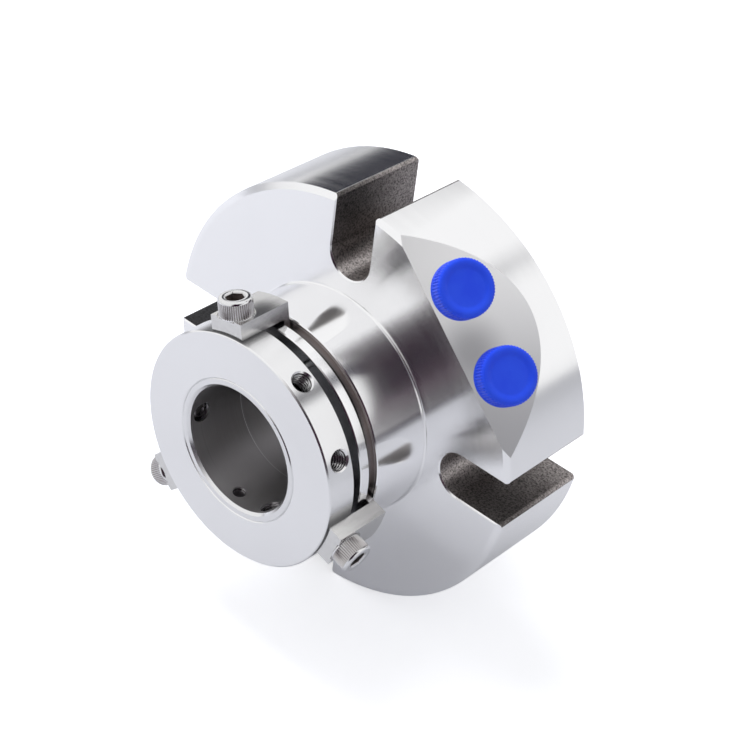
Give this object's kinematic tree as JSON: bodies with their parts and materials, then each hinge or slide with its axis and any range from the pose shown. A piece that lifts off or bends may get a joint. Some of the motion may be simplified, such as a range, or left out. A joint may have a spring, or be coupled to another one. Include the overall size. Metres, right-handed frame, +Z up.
{
  "type": "balanced mechanical seal",
  "caption": "Cartridge mechanical seal for a pump shaft: slotted gland with a polished neck, spring-loaded faces inside, drive collar with setting clips, and plugged ports.",
  "frame": {"origin": "on the shaft axis, in the plane of the gland's mounting face", "axes": "+Y along the shaft towards the pump, -Y towards the drive collar, +Z up through one bolt slot, +X to the right seen from the collar"},
  "size_m": [0.1334, 0.1007, 0.1334],
  "materials": {
    "gland_steel": "fine turned stainless steel, polished neck",
    "collar_steel": "satin turned stainless steel",
    "sleeve_steel": "bored stainless steel",
    "clip_steel": "milled stainless steel",
    "screw_steel": "bright knurled socket screw",
    "set_screw_steel": "dark set screw",
    "pin_steel": "ground pin",
    "spring_steel": "drawn spring wire",
    "silicon_carbide": "lapped dark ceramic",
    "carbon": "lapped carbon graphite",
    "seal_rubber": "smooth rubber",
    "plug_plastic": "bright blue moulded plastic"
  },
  "bodies": {
    "housing": {"gland": "gland_steel", "gland_o_ring": "seal_rubber", "spring_carrier": "sleeve_steel", "carrier_o_ring": "seal_rubber", "carrier_pin": "pin_steel", "carrier_snap_ring": "spring_steel", "outboard_stationary_o_ring": "seal_rubber", "outboard_springs": "spring_steel", "outboard_lock_pins": "pin_steel", "inboard_stationary_o_ring": "seal_rubber", "inboard_springs": "spring_steel", "inboard_lock_pins": "pin_steel"},
    "rotor": {"sleeve": "sleeve_steel", "shaft_o_ring": "seal_rubber", "pumping_ring": "sleeve_steel", "drive_collar": "collar_steel", "grip_screws": "set_screw_steel", "dog_screws": "set_screw_steel", "outboard_rotary_face": "silicon_carbide", "outboard_rotary_o_ring": "seal_rubber", "outboard_drive_pins": "pin_steel", "inboard_rotary_face": "silicon_carbide", "inboard_rotary_o_ring": "seal_rubber", "inboard_drive_pins": "pin_steel", "setting_clip_1": "clip_steel", "setting_clip_2": "clip_steel", "setting_clip_3": "clip_steel", "clip_screw_1": "screw_steel", "clip_screw_2": "screw_steel", "clip_screw_3": "screw_steel"},
    "outboard_face": {"outboard_stationary_face": "carbon", "outboard_spring_disc": "pin_steel"},
    "inboard_face": {"inboard_stationary_face": "carbon", "inboard_spring_disc": "pin_steel"},
    "plug_upper": {"port_plug_upper": "plug_plastic"},
    "plug_lower": {"port_plug_lower": "plug_plastic"}
  },
  "joints": [
    {"name": "rotor_spin", "type": "hinge", "parent": "housing", "child": "rotor", "pos_m": [0, 0, 0], "axis": [0, 1, 0], "continuous": true},
    {"name": "outboard_face_float", "type": "slide", "parent": "housing", "child": "outboard_face", "axis": [0, 1, 0], "range_m": [0, 0.0015], "stiffness_N_per_m": 9000, "springref_m": -0.004, "deforming": ["outboard_springs"]},
    {"name": "inboard_face_float", "type": "slide", "parent": "housing", "child": "inboard_face", "axis": [0, -1, 0], "range_m": [0, 0.0015], "stiffness_N_per_m": 9000, "springref_m": -0.004, "deforming": ["inboard_springs"]},
    {"name": "plug_upper_out", "type": "slide", "parent": "housing", "child": "plug_upper", "axis": [0.6533, -0.3827, 0.6533], "range_m": [0, 0.012]},
    {"name": "plug_lower_out", "type": "slide", "parent": "housing", "child": "plug_lower", "axis": [0.6533, -0.3827, 0.6533], "range_m": [0, 0.012]}
  ]
}
